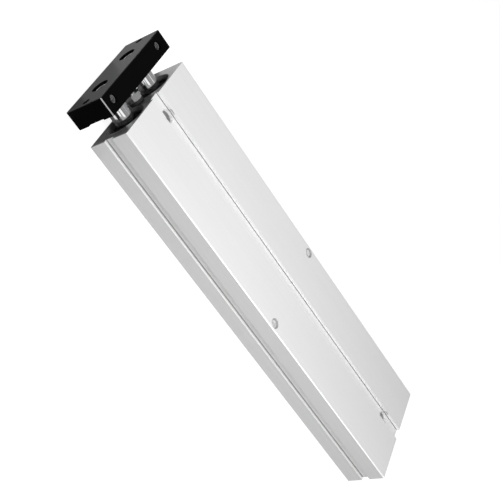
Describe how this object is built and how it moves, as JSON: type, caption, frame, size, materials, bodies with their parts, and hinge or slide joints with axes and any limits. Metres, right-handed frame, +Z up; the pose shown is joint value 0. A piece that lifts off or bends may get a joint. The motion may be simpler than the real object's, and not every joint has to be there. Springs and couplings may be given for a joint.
{
  "type": "twin-rod pneumatic cylinder",
  "caption": "Flat twin-bore pneumatic cylinder with parallel chromed rods joined by a black front plate, with an adjustable stop bolt between them.",
  "frame": {"origin": "under the middle of the retracted cylinder, on the wide face that it lies on", "axes": "+X along the rods, out of the housing; +Z up, across the housing's thickness"},
  "size_m": [0.4124, 0.098, 0.038],
  "materials": {
    "housing_aluminium": "clear anodised, fine matt",
    "cover_aluminium": "turned, dark hard anodised",
    "plate_black": "black anodised, satin",
    "rod_chrome": "hard chromed and ground",
    "fastener_steel": "bright zinc plated",
    "screw_black": "black oxide",
    "spring_steel": "phosphated spring steel",
    "seal_rubber": "matt nitrile rubber",
    "bush_bronze": "sintered bronze",
    "bumper_urethane": "black cast urethane",
    "ring_polymer": "filled bearing polymer",
    "magnet_ferrite": "plastic-bonded ferrite"
  },
  "bodies": {
    "housing_body": {"housing": "housing_aluminium", "rod_cover_left": "cover_aluminium", "rod_cover_right": "cover_aluminium", "head_cover_left": "cover_aluminium", "head_cover_right": "cover_aluminium", "rod_cover_o_rings": "seal_rubber", "head_cover_o_rings": "seal_rubber", "rod_seals": "seal_rubber", "rod_bushes": "bush_bronze", "front_retaining_rings": "spring_steel", "rear_retaining_rings": "spring_steel", "rear_bumpers": "bumper_urethane"},
    "rod_carriage": {"piston_rod_left": "rod_chrome", "piston_rod_right": "rod_chrome", "piston_left": "cover_aluminium", "piston_right": "cover_aluminium", "wear_rings": "ring_polymer", "piston_magnets": "magnet_ferrite", "piston_seals": "seal_rubber", "piston_nuts": "fastener_steel", "front_bumpers": "bumper_urethane", "front_plate": "plate_black", "plate_screws": "screw_black", "stop_lock_nut": "fastener_steel"},
    "stop_pad_body": {"stop_pad": "bumper_urethane"},
    "stop_bolt_body": {"stop_bolt": "fastener_steel"}
  },
  "joints": [
    {"name": "rod_slide", "type": "slide", "parent": "housing_body", "child": "rod_carriage", "axis": [1, 0, 0], "range_m": [0, 0.3]},
    {"name": "stop_bolt_travel", "type": "slide", "parent": "rod_carriage", "child": "stop_pad_body", "axis": [1, 0, 0], "range_m": [0, 0.0025]},
    {"name": "stop_bolt_turn", "type": "hinge", "parent": "stop_pad_body", "child": "stop_bolt_body", "pos_m": [0.18175, 0, 0.019], "axis": [1, 0, 0], "range_deg": [0, 720]}
  ],
  "couplings": [
    {"joint": "stop_bolt_travel", "follows": "stop_bolt_turn", "m_per_rad": 0.00019894}
  ]
}
